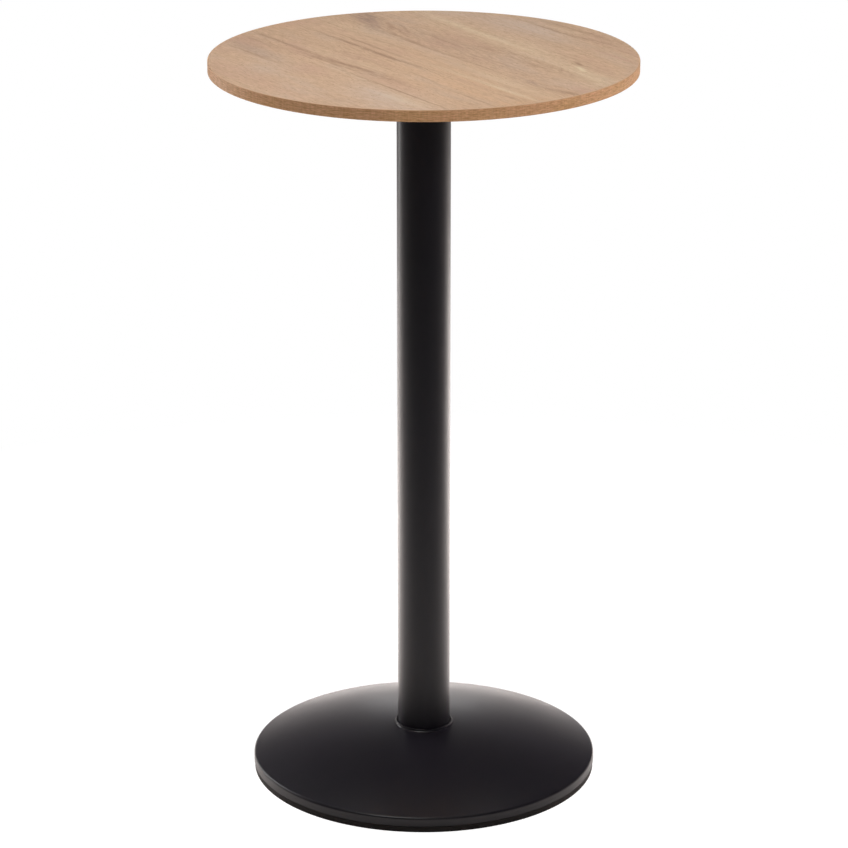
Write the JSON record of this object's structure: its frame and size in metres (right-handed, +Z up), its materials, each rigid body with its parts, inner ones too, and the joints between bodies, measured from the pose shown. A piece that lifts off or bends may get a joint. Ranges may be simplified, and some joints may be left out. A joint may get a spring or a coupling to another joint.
{
  "type": "bar table",
  "caption": "Tall round bar table with a thin oak-effect disc top on a black tubular column and a low domed black disc base with hidden levelling feet.",
  "frame": {"origin": "on the floor, on the column's axis, where the floor ring stands", "axes": "+Z up along the column; +X to the right and +Y away, seen from the picture's side"},
  "size_m": [0.6, 0.6, 1.063],
  "materials": {
    "chipboard": "raw pressed chips",
    "oak_face": "satin pale oak print",
    "oak_underside": "satin pale oak print",
    "oak_edge": "satin oak print",
    "black_plate": "matt black",
    "black_powder": "fine satin black powder coat",
    "bare_steel": "bare rolled steel",
    "zinc_steel": "bright zinc plate",
    "cast_iron": "black primer on a sand casting",
    "black_rubber": "matt",
    "ring_rubber": "matt brown-black",
    "pad_plastic": "matt black"
  },
  "bodies": {
    "table": {"core_board": "chipboard", "top_laminate": "oak_face", "underside_laminate": "oak_underside", "edge_band": "oak_edge", "top_plate": "black_plate", "top_plate_screws": "zinc_steel", "head_spigot": "bare_steel", "rod_weld_nut": "bare_steel", "column_tube": "black_powder", "tie_rod": "zinc_steel", "clamp_washer": "zinc_steel", "spring_washer": "zinc_steel", "rod_nut": "zinc_steel", "base_cover": "black_powder", "neck_gasket": "black_rubber", "cover_studs": "zinc_steel", "cover_washers": "zinc_steel", "cover_nuts": "zinc_steel", "ballast_plate": "cast_iron", "floor_ring": "ring_rubber"},
    "foot_pad_1": {"foot_pad_1": "pad_plastic"},
    "foot_stud_1": {"foot_stud_1": "zinc_steel"},
    "foot_pad_2": {"foot_pad_2": "pad_plastic"},
    "foot_stud_2": {"foot_stud_2": "zinc_steel"},
    "foot_pad_3": {"foot_pad_3": "pad_plastic"},
    "foot_stud_3": {"foot_stud_3": "zinc_steel"},
    "foot_pad_4": {"foot_pad_4": "pad_plastic"},
    "foot_stud_4": {"foot_stud_4": "zinc_steel"}
  },
  "joints": [
    {"name": "foot_travel_1", "type": "slide", "parent": "table", "child": "foot_pad_1", "axis": [0, 0, -1], "range_m": [0, 0.008]},
    {"name": "foot_turn_1", "type": "hinge", "parent": "foot_pad_1", "child": "foot_stud_1", "pos_m": [0.14142, 0.14142, 0.006], "axis": [0, 0, -1], "range_deg": [0, 2300]},
    {"name": "foot_travel_2", "type": "slide", "parent": "table", "child": "foot_pad_2", "axis": [0, 0, -1], "range_m": [0, 0.008]},
    {"name": "foot_turn_2", "type": "hinge", "parent": "foot_pad_2", "child": "foot_stud_2", "pos_m": [-0.14142, 0.14142, 0.006], "axis": [0, 0, -1], "range_deg": [0, 2300]},
    {"name": "foot_travel_3", "type": "slide", "parent": "table", "child": "foot_pad_3", "axis": [0, 0, -1], "range_m": [0, 0.008]},
    {"name": "foot_turn_3", "type": "hinge", "parent": "foot_pad_3", "child": "foot_stud_3", "pos_m": [-0.14142, -0.14142, 0.006], "axis": [0, 0, -1], "range_deg": [0, 2300]},
    {"name": "foot_travel_4", "type": "slide", "parent": "table", "child": "foot_pad_4", "axis": [0, 0, -1], "range_m": [0, 0.008]},
    {"name": "foot_turn_4", "type": "hinge", "parent": "foot_pad_4", "child": "foot_stud_4", "pos_m": [0.14142, -0.14142, 0.006], "axis": [0, 0, -1], "range_deg": [0, 2300]}
  ],
  "couplings": [
    {"joint": "foot_travel_1", "follows": "foot_turn_1", "m_per_rad": 0.00019894},
    {"joint": "foot_travel_2", "follows": "foot_turn_2", "m_per_rad": 0.00019894},
    {"joint": "foot_travel_3", "follows": "foot_turn_3", "m_per_rad": 0.00019894},
    {"joint": "foot_travel_4", "follows": "foot_turn_4", "m_per_rad": 0.00019894}
  ]
}
